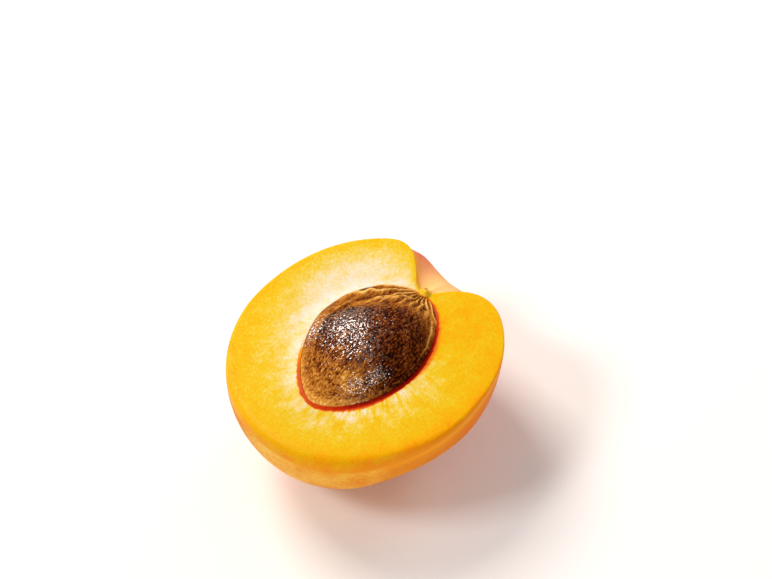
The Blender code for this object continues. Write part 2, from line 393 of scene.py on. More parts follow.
def pocket_point(turn, share):
    """The pocket where the stone lies against it: share 1 is just under the keel, 0 the floor."""
    reach = share * (keel_reach(turn) + TIGHT_GAP)
    fall = math.sqrt(max(0.0, 1 - share**POCKET_POWER))
    depth = GUTTER_DEPTH + (STONE_HALF_THICKNESS + TIGHT_GAP - GUTTER_DEPTH) * fall
    point = Vector((reach * math.cos(turn), reach * math.sin(turn), -depth))
    return STONE_MIDDLE + STONE_ROLL @ point


@functools.cache
def side_at(segment):
    """A segment's angle, and the points that its rings run between, from the skin to the gutter."""
    turn = segment / FRUIT_SEGMENTS * 2 * math.pi
    turn -= STEM_CROWDING * math.sin(turn)
    outward = level_way(turn)
    corner = skin_point(outward)
    softness = hill(turn, SOFT_MIDDLE, SOFT_SPREAD)
    steepness = math.atan2(blend(CRISP_DEPTH, SOFT_DEPTH, softness), corner.length)
    face_start = corner * (1 - blend(CRISP_INSET, SOFT_INSET, softness) / corner.length)
    gutter = pocket_point(turn, 1.0)
    raggedness = RAGGEDNESS * (1 + TIP_RAGGEDNESS * hill(turn, math.pi, TIP_RAG_SPREAD))
    rag = raggedness * noise.noise(outward * (keel_reach(turn) / RAG_SIZE))
    rim = gutter + outward * (pocket_gap(turn) + rag)
    rim.z = CLING_SHARE * max(0.0, gutter.z)
    return types.SimpleNamespace(
        turn=turn, outward=outward, steepness=steepness, corner=corner, face_start=face_start,
        skin_top=skin_point(dipped(outward, steepness)), rim=rim, gutter=gutter,
    )


def fruit_point(ring, side):
    """The surface of the half for a ring, counted up from the foot, on one side of the fruit."""
    if ring <= SKIN_RINGS:
        fall = blend(math.pi / 2, side.steepness, (ring / SKIN_RINGS) ** SKIN_CROWDING)
        return skin_point(dipped(side.outward, fall))
    ring -= SKIN_RINGS
    if ring <= EDGE_RINGS:
        share = ring / EDGE_RINGS
        inward = side.corner.lerp(side.face_start, share)
        return side.skin_top.lerp(side.corner, share).lerp(inward, share)
    ring -= EDGE_RINGS
    if ring <= FACE_RINGS:
        share = ring / FACE_RINGS
        point = side.face_start.lerp(side.rim, share)
        wave = CUT_WAVES * noise.noise(point / CUT_WAVE_SIZE) * math.sin(math.pi * share)
        cling = math.exp(-(((side.rim - point).length / CLING_REACH) ** 2))
        point.z = wave + side.rim.z * cling
        return point
    ring -= FACE_RINGS
    if ring <= LIP_RINGS:
        return side.rim.lerp(side.gutter, ring / LIP_RINGS)
    return pocket_point(side.turn, 1 - (ring - LIP_RINGS) / POCKET_RINGS)


def ripening(turn, out_share):
    """How far the flesh has ripened on its way out, from 0 at the stone to 1 at the skin."""
    slow = hill(turn, SLOW_MIDDLE, SLOW_SPREAD) + SLOW_TIP * hill(turn, TIP_MIDDLE, TIP_SPREAD)
    return out_share ** blend(QUICK_RIPENING, SLOW_RIPENING, slow)


def under_skin(turn, out_share):
    """1 right under the skin and down to 0 further in."""
    band = blend(UNDER_SKIN, WIDE_UNDER_SKIN, hill(turn, AMBER_MIDDLE, AMBER_SPREAD))
    return math.exp(-(((1 - out_share) / band) ** 2))


def amber_and_glow_edge(turn):
    """How amber the fruit is along the cut's edge, at an angle round it. It is the fruit's own amber
    on the dorsal side and painted glow in the notch.
    """
    dorsal = hill(turn, AMBER_MIDDLE, AMBER_SPREAD) ** 2
    return max(dorsal, hill(turn, NOTCH_GLOW_MIDDLE, NOTCH_GLOW_SPREAD))


def flesh_ripeness(turn, out_share, from_rim):
    """How ripe the flesh looks at an angle, a share of the way out and a distance off the rim."""
    golden = hill(turn, GOLDEN_MIDDLE, GOLDEN_SPREAD)
    at_stone = RIPENESS_AT_STONE * (1 - hill(turn, PALE_MIDDLE, PALE_SPREAD))
    at_stone = blend(at_stone, GOLDEN_AT_STONE, golden)
    at_skin = blend(RIPE, GOLDEN_RIPE, golden)
    fringe = GOLDEN_FRINGE_RIPENESS * golden * math.exp(-((from_rim / GOLDEN_FRINGE) ** 2))
    # the edge's ripeness is the flesh's own amber on the dorsal side and painted glow in the notch
    edge = blend(EDGE_RIPENESS, AMBER_AND_GLOW_RIPENESS, amber_and_glow_edge(turn)) * under_skin(turn, out_share)
    return blend(at_stone, at_skin, ripening(turn, out_share)) + fringe + edge


def lining_strength(turn, from_rim):
    """How strongly the red lining shows, from 1 at the rim and in the pocket down to 0."""
    reach = blend(LINING, WIDE_LINING, hill(turn, LINING_MIDDLE, LINING_SPREAD))
    fringe_reach = blend(LINING, FRINGE, hill(turn, FRINGE_MIDDLE, FRINGE_SPREAD))
    strength = max(0.0, 1 - from_rim / reach, FRINGE_SHARE * (1 - from_rim / fringe_reach))
    return strength * (1 - plateau(turn, UNLINED_MIDDLE, UNLINED_SPREAD))


def wrapped_grid(segments, rings):
    """A flat grid from -1 to 1 to be wrapped into a ball: X becomes the turn and Y the ring."""
    grid = bmesh.new()
    bmesh.ops.create_grid(grid, x_segments=segments, y_segments=rings, size=1.0)
    return grid


def grid_place(vertex, segments, rings):
    """The segment and the ring, counted from 0, that a vertex of a wrapped grid stands for."""
    segment = round((vertex.co.x + 1) / 2 * segments) % segments
    return segment, round((vertex.co.y + 1) / 2 * rings)


def close_ball(ball):
    """Welds the seam and the two poles of a wrapped grid, and shades it smooth."""
    bmesh.ops.remove_doubles(ball, verts=ball.verts, dist=WELD)
    bmesh.ops.recalc_face_normals(ball, faces=ball.faces)
    for face in ball.faces:
        face.smooth = True


shape = wrapped_grid(FRUIT_SEGMENTS, FRUIT_RINGS)
ripeness_layer = shape.verts.layers.float.new("ripeness")
streak_layer = shape.verts.layers.float.new("streaks")
lining_layer = shape.verts.layers.float.new("lining")
redness_layer = shape.verts.layers.float.new("redness")
blush_layer = shape.verts.layers.float.new("blush")
amber_and_glow_layer = shape.verts.layers.float.new("amber_and_glow")
hollow_glow_layer = shape.verts.layers.float.new("painted_hollow_glow")
grain_layer = shape.verts.layers.float.new("grain")
fibre_layer = shape.verts.layers.float_vector.new("fibre")
ring_layer = shape.verts.layers.int.new("ring")
for vertex in shape.verts:
    segment, ring = grid_place(vertex, FRUIT_SEGMENTS, FRUIT_RINGS)
    side = side_at(segment)
    turn = side.turn
    point = fruit_point(ring, side)
    from_rim = (point - side.rim).length
    out_share = 1 - (ring - SKIN_RINGS) / (EDGE_RINGS + FACE_RINGS)
    out_share = max(0.0, min(1.0, out_share))  # 0 at the rim and 1 at the skin

    # The flesh: its tone and grain, the streaks of fibre and the lining of the pocket
    vertex[ripeness_layer] = flesh_ripeness(turn, out_share, from_rim)
    smooth_share = SMOOTHED_UNDER_SKIN * under_skin(turn, out_share)
    grain = blend(GRAIN_AT_STONE, GRAIN_RIPE, ripening(turn, out_share))
    vertex[grain_layer] = grain * (1 - smooth_share)
    near_stone = math.exp(-((out_share / STREAK_REACH) ** 2))
    streaks = STREAKS + MORE_STREAKS * hill(turn, STREAK_MIDDLE, STREAK_SPREAD)
    vertex[streak_layer] = near_stone * streaks
    vertex[lining_layer] = lining_strength(turn, from_rim if ring < RIM_RING else 0.0)
    vertex[redness_layer] = blend(PALE_LINING, 1.0, plateau(turn, RED_MIDDLE, RED_SPREAD))
    vertex[fibre_layer] = Vector(
        (FIBRES_ROUND * math.cos(turn), FIBRES_ROUND * math.sin(turn), point.length)
    )

    # The skin: its blush, the painted light in the stem hollow and the amber line along the cut
    way = point.normalized()
    vertex[blush_layer] = SKIN_BLUSH + TIP_TO_STEM * way.x + CHEEK * max(0.0, way.y)
    # painted light: the skin is paler down in the stem hollow, for glow through the flesh in its shade
    off_axis = math.hypot(point.y, point.z)
    painted_hollow_glow = math.exp(-((off_axis / HOLLOW_GLOW_REACH) ** 2))
    vertex[hollow_glow_layer] = painted_hollow_glow if point.x > 0 else 0.0
    # amber along the cut: the skin's own on the dorsal side, painted glow in the notch
    near_cut = math.exp(-((side.skin_top - point).length / CUT_AMBER_GLOW_REACH))
    vertex[amber_and_glow_layer] = near_cut * amber_and_glow_edge(turn)

    vertex[ring_layer] = ring
    vertex.co = AXIS_POINT + point
    vertex.co.z = max(0.0, vertex.co.z)  # the foot is flat where the half rests
for face in shape.faces:
    face.material_index = int(min(vertex[ring_layer] for vertex in face.verts) < SKIN_RINGS)
shape.verts.layers.int.remove(ring_layer)
close_ball(shape)

# Apricot flesh, freshly cut: wet, see-through to a depth of a millimetre or two, and grained with
# fibres that run out from the stone, so it is matt in itself under a broken gloss of juice
CELL_SIZE = 0.40 * MM  # the flesh's cells, drawn about twice as coarse as they are so that they show
CLOUD_SIZE = 3.0 * MM
CLOUD_AMOUNT = 0.40
FIBRE_WIDTH = 0.62 * MM
FIBRE_STRETCH = (1.0, 1.0, 0.26)  # less along the way out from the stone, where they run on
FLESH_STOPS = (
    (0.0, "#EEE4D4"), (0.16, "#ECDCB6"), (0.36, "#E9CE6C"), (0.55, "#E6C11C"), (0.75, "#E8B402"),
    (0.90, "#ECA700"), (1.0, "#EE9200"),
)
LINING_STOPS = (
    (0.10, "#F2A012"), (0.30, "#E47C0A"), (0.46, "#D45806"), (0.60, "#C83604"), (0.78, "#AE1E02"),
    (1.0, "#7E0A00"),
)
LINING_FRAY = 0.35  # how far fibres and cells shift the lining's edge
LINING_EDGE = (0.05, 0.28)  # strengths between which the lining comes up out of the flesh
NO_LINING = 0.02  # strength below which there is none, however the fibres shift it
FLESH_GLOW = 0.35  # share of the light that goes under the surface, in the flesh and the lining
LINING_GLOW = 0.05
FACTOR, FROM, TO, MIXED = 0, 6, 7, 2  # sockets of a colour Mix node

flesh = new_material("ripe_apricot_flesh")
ripeness = add_node(flesh, "Attribute", attribute_name="ripeness").outputs["Fac"]
streaks = add_node(flesh, "Attribute", attribute_name="streaks").outputs["Fac"]
grain = add_node(flesh, "Attribute", attribute_name="grain").outputs["Fac"]
lining = add_node(flesh, "Attribute", attribute_name="lining").outputs["Fac"]
redness = add_node(flesh, "Attribute", attribute_name="redness").outputs["Fac"]
fibre = add_node(flesh, "Attribute", attribute_name="fibre").outputs["Vector"]
place = add_node(flesh, "TexCoord").outputs["Object"]

clouds = add_node(
    flesh, "TexNoise", {"Vector": place, "Scale": 1 / CLOUD_SIZE, "Detail": 3.0, "Roughness": 0.6}
).outputs["Fac"]
cells = add_node(
    flesh, "TexNoise", {"Vector": place, "Scale": 1 / CELL_SIZE, "Detail": 2.0, "Roughness": 0.7}
).outputs["Fac"]
fibre_place = add_node(
    flesh, "Mapping", {"Vector": fibre, "Scale": FIBRE_STRETCH}
).outputs["Vector"]
fibres = add_node(
    flesh, "TexNoise",
    {"Vector": fibre_place, "Scale": 1 / FIBRE_WIDTH, "Detail": 3.0, "Roughness": 0.6},
).outputs["Fac"]
cloud_swing = add_node(flesh, "Math", {0: clouds, 1: -0.5}, operation="ADD").outputs[0]
cell_swing = add_node(flesh, "Math", {0: cells, 1: -0.5}, operation="ADD").outputs[0]
fibre_swing = add_node(flesh, "Math", {0: 0.5, 1: fibres}, operation="SUBTRACT").outputs[0]

# The flesh's tone is its ripeness with clouds and cells, and with streaks of fibre by the stone
clouded_tone = add_node(
    flesh, "Math", {0: cloud_swing, 1: CLOUD_AMOUNT, 2: ripeness}, operation="MULTIPLY_ADD"
).outputs[0]
grained_tone = add_node(
    flesh, "Math", {0: cell_swing, 1: grain, 2: clouded_tone}, operation="MULTIPLY_ADD"
).outputs[0]
streak_swing = add_node(
    flesh, "Math", {0: cloud_swing, 1: fibre_swing}, operation="ADD"
).outputs[0]
flesh_tone = add_node(
    flesh, "Math", {0: streak_swing, 1: streaks, 2: grained_tone}, operation="MULTIPLY_ADD"
).outputs[0]
bare_colour = add_node(flesh, "ValToRGB", {"Fac": flesh_tone}, stops=FLESH_STOPS).outputs["Color"]

# The lining's edge is frayed by the same fibres and cells
brushed_lining = add_node(
    flesh, "Math", {0: fibre_swing, 1: LINING_FRAY, 2: lining}, operation="MULTIPLY_ADD"
).outputs[0]
frayed_lining = add_node(
    flesh, "Math", {0: cell_swing, 1: LINING_FRAY, 2: brushed_lining}, operation="MULTIPLY_ADD"
).outputs[0]
lining_tone = add_node(
    flesh, "Math", {0: frayed_lining, 1: redness}, operation="MULTIPLY"
).outputs[0]
lining_colour = add_node(
    flesh, "ValToRGB", {"Fac": lining_tone}, stops=LINING_STOPS
).outputs["Color"]
lining_edge = add_node(
    flesh, "MapRange",
    {"Value": frayed_lining, "From Min": LINING_EDGE[0], "From Max": LINING_EDGE[1]},
).outputs["Result"]
any_lining = add_node(
    flesh, "Math", {0: lining, 1: NO_LINING}, operation="GREATER_THAN"
).outputs[0]
lined = add_node(flesh, "Math", {0: lining_edge, 1: any_lining}, operation="MULTIPLY").outputs[0]
flesh_colour = add_node(
    flesh, "Mix", {FACTOR: lined, FROM: bare_colour, TO: lining_colour}, data_type="RGBA"
).outputs[MIXED]
glow = add_node(
    flesh, "Math", {0: lined, 1: LINING_GLOW - FLESH_GLOW, 2: FLESH_GLOW},
    operation="MULTIPLY_ADD",
).outputs[0]

flesh_relief = add_node(
    flesh, "Math", {0: fibres, 1: 0.5, 2: cells}, operation="MULTIPLY_ADD"
).outputs[0]
flesh_bump = add_node(
    flesh, "Bump", {"Height": flesh_relief, "Distance": 0.06 * MM, "Strength": 0.8}
).outputs["Normal"]
wet_flesh = add_node(
    flesh, "BsdfPrincipled",
    {
        "Base Color": flesh_colour, "Roughness": 0.35, "IOR": 1.36, "Normal": flesh_bump,
        "Specular IOR Level": 0.15, "Subsurface Weight": glow,
        "Subsurface Radius": (1.0, 0.55, 0.12), "Subsurface Scale": 1.6 * MM,
    },
)
add_node(flesh, "OutputMaterial", {"Surface": wet_flesh.outputs[0]})

# Apricot skin: thin, covered in pale down that lights up where it is seen edge on. Orange-yellow
# ground colour with a red blush on the side that hung in the sun
MOTTLE_SIZE = 4.5 * MM
MOTTLE_AMOUNT = 0.45
SPECK_SIZE = 0.55 * MM  # tufts of down and pores, drawn coarser than they are so that they show
SPECK_AMOUNT = 0.30
SKIN_STOPS = (
    (0.0, "#F6C04C"), (0.20, "#E68C08"), (0.42, "#E07A06"), (0.56, "#E67218"), (0.68, "#F28444"),
    (0.8, "#F47058"), (0.92, "#DC4440"), (1.0, "#BC2E2C"),
)
# painted light: the stem hollow's pale yellow stands in for glow through the thin flesh in its shade
HOLLOW_GLOW_COLOUR = "#FFD084"
# amber along the cut: the skin's own on the dorsal side, painted glow in the notch
AMBER_AND_GLOW_COLOUR = "#FFA814"
DOWN_COLOUR = "#FFE4D4"

skin = new_material("downy_apricot_skin")
blush = add_node(skin, "Attribute", attribute_name="blush").outputs["Fac"]
amber_and_glow = add_node(skin, "Attribute", attribute_name="amber_and_glow").outputs["Fac"]
painted_hollow_glow = add_node(skin, "Attribute", attribute_name="painted_hollow_glow").outputs["Fac"]
place = add_node(skin, "TexCoord").outputs["Object"]
mottle = add_node(
    skin, "TexNoise", {"Vector": place, "Scale": 1 / MOTTLE_SIZE, "Detail": 5.0, "Roughness": 0.6}
).outputs["Fac"]
specks = add_node(
    skin, "TexNoise", {"Vector": place, "Scale": 1 / SPECK_SIZE, "Detail": 2.0, "Roughness": 0.6}
).outputs["Fac"]
mottle_swing = add_node(skin, "Math", {0: mottle, 1: -0.5}, operation="ADD").outputs[0]
speck_swing = add_node(skin, "Math", {0: specks, 1: -0.5}, operation="ADD").outputs[0]
mottled_blush = add_node(
    skin, "Math", {0: mottle_swing, 1: MOTTLE_AMOUNT, 2: blush}, operation="MULTIPLY_ADD"
).outputs[0]
specked_blush = add_node(
    skin, "Math", {0: speck_swing, 1: SPECK_AMOUNT, 2: mottled_blush}, operation="MULTIPLY_ADD"
).outputs[0]
blush_colour = add_node(
    skin, "ValToRGB", {"Fac": specked_blush}, stops=SKIN_STOPS
).outputs["Color"]
# painted light: the stem hollow's pale yellow is mixed over the blush
glowing_hollow_colour = add_node(
    skin, "Mix", {FACTOR: painted_hollow_glow, FROM: blush_colour, TO: linear(HOLLOW_GLOW_COLOUR)},
    data_type="RGBA",
).outputs[MIXED]
# the amber along the cut, the skin's own on the dorsal side and painted glow in the notch
skin_colour = add_node(
    skin, "Mix", {FACTOR: amber_and_glow, FROM: glowing_hollow_colour, TO: linear(AMBER_AND_GLOW_COLOUR)}, data_type="RGBA"
).outputs[MIXED]
skin_bump = add_node(
    skin, "Bump", {"Height": specks, "Distance": 0.03 * MM, "Strength": 0.6}
).outputs["Normal"]
downy_skin = add_node(
    skin, "BsdfPrincipled",
    {
        "Base Color": skin_colour, "Roughness": 0.55, "IOR": 1.4, "Normal": skin_bump,
        "Subsurface Weight": 0.15, "Subsurface Radius": (1.0, 0.4, 0.1),
        "Subsurface Scale": 1.0 * MM, "Sheen Weight": 0.07, "Sheen Roughness": 0.12,
        "Sheen Tint": linear(DOWN_COLOUR), "Specular IOR Level": 0.1,
    },
)
add_node(skin, "OutputMaterial", {"Surface": downy_skin.outputs[0]})


def add_piece(name, shape, materials, replaced):
    """Turns a finished bmesh into a piece that rides on the frame in place of a solid."""
    mesh = bpy.data.meshes.new(name)
    shape.to_mesh(mesh)
    shape.free()
    for material in materials:
        mesh.materials.append(material)
    piece = bpy.data.objects.new(name, mesh)
    bpy.context.collection.objects.link(piece)
    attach(piece, "root")
    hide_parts(replaced)


add_piece("cut_fruit", shape, [flesh, skin], "apricot_half")


# ---- The stump of the stem's fibres ----------------------------------------------------------
# A knot of juicy fibres on the floor of the stem hollow, torn off as the stem was pulled. It is
# flesh as well, so it stands for the same solid. Its outer rim, which faces the stem, is painted
# olive brown as shade.

STUMP_PLACE = Vector((15.95 * MM, 0.2 * MM, 0.1 * MM))  # from the fruit's middle
STUMP_RADIUS = 0.98 * MM
STUMP_SEGMENTS = 72
STUMP_RINGS = 48
STUMP_ROUGHNESS = 0.32 * MM
STUMP_GRAIN = 0.75 * MM
# painted shade: olive brown on the side turned up and towards the stem
SHADE_WAY = Vector((0.75, 0.25, 0.6)).normalized()
SHADE_SPREAD = 0.75  # radians from that direction

shape = bmesh.new()
bmesh.ops.create_uvsphere(
    shape, u_segments=STUMP_SEGMENTS, v_segments=STUMP_RINGS, radius=STUMP_RADIUS
)
shade_layer = shape.verts.layers.float.new("painted_shade")
for vertex in shape.verts:
    way = vertex.co.normalized()
    vertex[shade_layer] = hill(way.angle(SHADE_WAY), 0.0, SHADE_SPREAD)
    vertex.co += way * STUMP_ROUGHNESS * noise.noise(vertex.co / STUMP_GRAIN)
    vertex.co += AXIS_POINT + STUMP_PLACE
for face in shape.faces:
    face.smooth = True

# Torn vascular fibres: yellow and wet like the flesh, with painted shade in olive brown on the side
# that faces the stem
TUFT_SIZE = 0.6 * MM
SHADE_DARKNESS = 0.55
KNOT_STOPS = ((0.30, "#FADC60"), (0.45, "#F2C410"), (0.75, "#DC9C08"), (0.95, "#8A6A10"))

knot = new_material("torn_stem_fibres")
painted_shade = add_node(knot, "Attribute", attribute_name="painted_shade").outputs["Fac"]
place = add_node(knot, "TexCoord").outputs["Object"]
tufts = add_node(
    knot, "TexNoise", {"Vector": place, "Scale": 1 / TUFT_SIZE, "Detail": 3.0}
).outputs["Fac"]
# painted shade darkens the tufts towards olive brown
shaded_tufts = add_node(
    knot, "Math", {0: painted_shade, 1: SHADE_DARKNESS, 2: tufts}, operation="MULTIPLY_ADD"
).outputs[0]
knot_colour = add_node(knot, "ValToRGB", {"Fac": shaded_tufts}, stops=KNOT_STOPS).outputs["Color"]
knot_bump = add_node(
    knot, "Bump", {"Height": tufts, "Distance": 0.12 * MM, "Strength": 0.8}
).outputs["Normal"]
torn_fibres = add_node(
    knot, "BsdfPrincipled",
    {"Base Color": knot_colour, "Roughness": 0.35, "IOR": 1.36, "Normal": knot_bump},
)
add_node(knot, "OutputMaterial", {"Surface": torn_fibres.outputs[0]})
add_piece("stem_stump", shape, [knot], "apricot_half")


# ---- The stone -------------------------------------------------------------------------------
# The woody stone, dark and wet from the flesh it lay in: a pitted dome inside a sharp keel, with
# a fan of pale fins on the shoulder where the fruit's fibres came in from the stem.

STONE_SEGMENTS = 620
STONE_TOP_RINGS = 140
STONE_BOTTOM_RINGS = 18
RIM_CROWDING = 0.3  # how far the top rings draw together at the keel, where it is steepest
DOME_SHARE = 0.9
DOME_SHARE_CREST = 0.68
DOME_POWER = 0.6
KEEL_HALF_THICKNESS = 0.6 * MM
KEEL_POWER = 10
FLANGE_RISE = 2.4 * MM
JOIN_POWER = 4
CREST_MIDDLE = math.radians(48)
CREST_SPREAD = math.radians(36)
SLOPE_STEP = 0.004  # share of the reach over which the surface's slope is taken

# The shoulder, where the shell is paler and fibrous, reaches furthest in at the stem end. There is
# next to none on the dorsal side, which lies low in the flesh
SHOULDER_SHARE = 0.955
SHOULDER_SHARE_STEM = 0.43
SHOULDER_MIDDLE = math.radians(22)
SHOULDER_SPREAD = math.radians(55)
SHOULDER_SOFTNESS = 0.035
BURIED_SHARE = 0.15
BURIED_MIDDLE = math.radians(-62)
BURIED_SPREAD = math.radians(42)
WANDER = 0.04  # how far the shoulder's edge strays, as a share of the reach, and the ridges half that

# The fan of fins on the shoulder
FAN_POINT = Vector((15.9 * MM, 1.0 * MM, 0.0))  # the fins spread from here, just off the stem end
FAN_STEP = math.radians(14)
FAN_WANDER = 0.10
FAN_WANDER_SIZE = 2 * MM
FIN_HEIGHT = 0.60 * MM
FIN_RUN_IN = 0.20  # share of the way out over which the fins rise from the dome's edge
FIN_GROWTH = 1.3  # above 1, as the fins are at their full height before the shoulder's middle
FIN_FADE = 0.6  # how much lower they are at the keel

# A ridge with a groove inside it runs along the suture side of the keel, with paler shell outside
# it. A lower and paler ridge runs along the dorsal side of the stem end
RIDGE_SHARE = 0.83
RIDGE_HALF_WIDTH = 0.022
RIDGE_HEIGHT = 0.32 * MM
RIDGE_MIDDLE = math.radians(98)
RIDGE_SPREAD = math.radians(48)
GROOVE_OFFSET = 2.2  # half-widths inside the ridge
GROOVE_DEPTH = 0.192 * MM
OUTSIDE_OFFSET = 1.5  # half-widths outside the ridge where the paler shell has half begun
OUTSIDE_STEEPNESS = 2
SIDE_RIDGE_SHARE = 0.92
SIDE_RIDGE_HEIGHT = 0.256 * MM
SIDE_RIDGE_MIDDLE = math.radians(-30)
SIDE_RIDGE_SPREAD = math.radians(26)

# The shell's own relief: grains as fine as sand, pits, and marks of fibres drawn out along the axis
GRANULE_SIZE = Vector((0.60 * MM, 0.40 * MM, 0.44 * MM))
GRANULE_HEIGHT = 0.08 * MM
GRANULE_CRACKS = 1.35  # more leaves wider cracks between the grains
GRAIN_ON_SHOULDER = 0.4  # share of the grain that is left there
PIT_SIZE = 1.7 * MM
PIT_DEPTH = 0.18 * MM
STREAM_SIZE = Vector((3.0 * MM, 0.42 * MM, 0.6 * MM))
STREAM_HEIGHT = 0.22 * MM
FAINT_STREAM = 0.12  # share of a stream's height that is left on the dark dome
FADE_POWER = 8  # how late the streams and the dark shell fade out on the way to the keel

# Where the shell is ochre, darker, or pale right at the keel
OCHRE_MIDDLE = math.radians(188)
OCHRE_SPREAD = math.radians(35)
OCHRE_GROWTH = 1.4  # it grows from the middle of the dome and is full at 1 / 1.4 of the way out
DARK_MIDDLE = math.radians(-105)
DARK_SPREAD = math.radians(38)
DARK_GROWTH = 1.5  # likewise full at 1 / 1.5 of the way out
PALE_EDGE_MIDDLE = math.radians(150)
PALE_EDGE_SPREAD = math.radians(38)
PALE_EDGE_POWER = 12

# How much each feature lightens the shell's tone, which goes from 0, nearly black, to 1, straw
GROUND_TONE = 0.06
GRAIN_TONE = 0.30
SHOULDER_TONE = 0.31
FIN_TONE = 0.58
FIN_GAP_TONE = -0.08
RIDGE_TONE = 0.34
GROOVE_TONE = -0.22
OUTSIDE_TONE = 0.10
SIDE_RIDGE_TONE = 0.5
PALE_EDGE_TONE = 0.14
OCHRE_TONE = 0.37
DARK_TONE = -0.09
PIT_TONE = 0.10
STREAM_TONE = 0.16
OCHRE_STREAM_TONE = 0.36
STREAM_FADE = 0.75  # how much of the streams' tone goes at the keel
SPECKLE = 0.85  # how strong the fine grain's tone is on the dome, and on the shoulder
SHOULDER_SPECKLE = 0.55
WET_PATCHES = [  # (place from the stone's middle, how wide): where juice still stands on the shell
    (Vector((-1.4 * MM, 3.9 * MM, 5.3 * MM)), 7.0 * MM),
    (Vector((-8.8 * MM, -4.8 * MM, 2.1 * MM)), 3.4 * MM),
    (Vector((-5.2 * MM, -5.8 * MM, 2.9 * MM)), 3.0 * MM),
    (Vector((-4.0 * MM, 9.3 * MM, 1.5 * MM)), 4.8 * MM),
    (Vector((-3.6 * MM, -1.0 * MM, 5.6 * MM)), 4.6 * MM),
]


def stone_half_height(share, turn):
    """Height of the stone's surface over the keel's plane, at a share of the way out to the keel."""
    dome_share = blend(DOME_SHARE, DOME_SHARE_CREST, hill(turn, CREST_MIDDLE, CREST_SPREAD))
    dome = STONE_HALF_THICKNESS * max(0.0, 1 - (share / dome_share) ** 2) ** DOME_POWER
    flange = KEEL_HALF_THICKNESS + FLANGE_RISE * (1 - share)
    flange *= math.sqrt(max(0.0, 1 - share**KEEL_POWER))
    return (dome**JOIN_POWER + flange**JOIN_POWER) ** (1 / JOIN_POWER)


def stone_lean(share, turn):
    """How far the stone's surface leans outwards there, from 0 where it is level."""
    inner_share = max(0.0, share - SLOPE_STEP)
    rise = stone_half_height(share, turn) - stone_half_height(inner_share, turn)
    return math.atan2(-rise, keel_reach(turn) * SLOPE_STEP)


def counted_in(point, size):
    """A point measured in units of a size, which may differ along X, Y and Z."""
    return Vector((point.x / size.x, point.y / size.y, point.z / size.z))


def granule(point):
    """1 on top of a grain of the shell and down to 0 in the cracks round it."""
    nearest = noise.voronoi(counted_in(point, GRANULE_SIZE))[0][0]
    return max(0.0, 1 - (GRANULE_CRACKS * nearest) ** 2)


